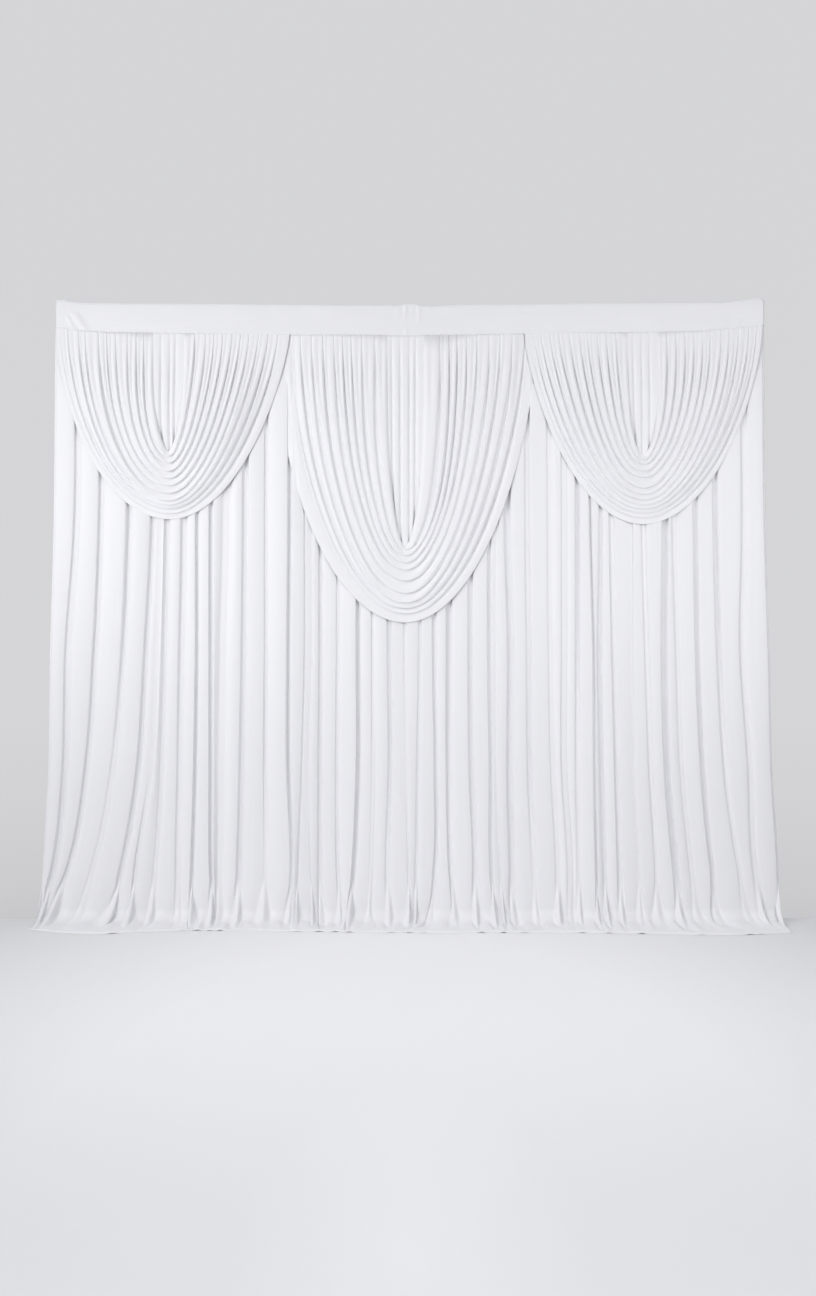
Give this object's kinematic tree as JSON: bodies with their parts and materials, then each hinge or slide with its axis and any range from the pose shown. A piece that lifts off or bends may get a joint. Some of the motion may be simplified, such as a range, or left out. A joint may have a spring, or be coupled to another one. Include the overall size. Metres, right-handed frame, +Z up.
{
  "type": "swagged drapery backdrop",
  "caption": "White gathered backdrop curtain with a rod-pocket heading band and pleated swags across its top, swept forward where it meets the floor.",
  "frame": {"origin": "middle of the heading band's top edge, over the rod pocket", "axes": "+X to the right along the band seen from the front, +Y to the back, +Z up"},
  "size_m": [3.1126, 0.2954, 2.644],
  "materials": {
    "white_knit": "soft satin knit"
  },
  "bodies": {
    "root": {"heading_band": "white_knit", "back_curtain": "white_knit", "swag_left": "white_knit", "swag_centre": "white_knit", "swag_right": "white_knit"}
  },
  "joints": []
}
